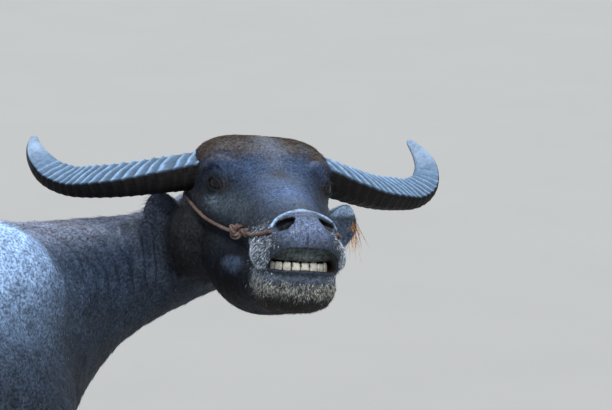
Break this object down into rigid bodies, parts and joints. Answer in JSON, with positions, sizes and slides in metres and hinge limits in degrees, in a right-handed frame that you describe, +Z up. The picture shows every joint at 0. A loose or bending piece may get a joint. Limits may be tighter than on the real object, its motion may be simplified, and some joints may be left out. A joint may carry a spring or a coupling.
{
  "type": "water buffalo",
  "caption": "Life-size still model of a swamp water buffalo that stands with its head turned back to its right, with long ridged horns and a worn nose rope.",
  "frame": {"origin": "on the floor, under the middle of the box round the whole animal", "axes": "+X forwards along the trunk, +Y to the animal's left, +Z up"},
  "size_m": [2.4176, 0.9716, 1.3769],
  "materials": {
    "hide": "blue-grey to black skin with a wet sheen and sparse hair",
    "horn": "ridged horn, blue-grey above and brown-black below",
    "eye": "wet and glossy, near black",
    "claw": "worn dark horn",
    "tuft": "coarse dark brown hair",
    "rope": "worn twisted red-brown cord"
  },
  "bodies": {
    "root": {"ear_left": "hide", "ear_right": "hide", "eye_left": "eye", "eye_right": "eye", "foreclaw_left_inner": "claw", "foreclaw_left_outer": "claw", "foreclaw_right_inner": "claw", "foreclaw_right_outer": "claw", "foreleg_left_lower": "hide", "foreleg_left_upper": "hide", "foreleg_right_lower": "hide", "foreleg_right_upper": "hide", "head": "hide", "hindclaw_left_inner": "claw", "hindclaw_left_outer": "claw", "hindclaw_right_inner": "claw", "hindclaw_right_outer": "claw", "hindleg_left_lower": "hide", "hindleg_left_upper": "hide", "hindleg_right_lower": "hide", "hindleg_right_upper": "hide", "horn_left": "horn", "horn_right": "horn", "lower_jaw": "hide", "neck": "hide", "nose_rope": "rope", "tail": "hide", "tail_tuft": "tuft", "torso": "hide"}
  },
  "joints": []
}
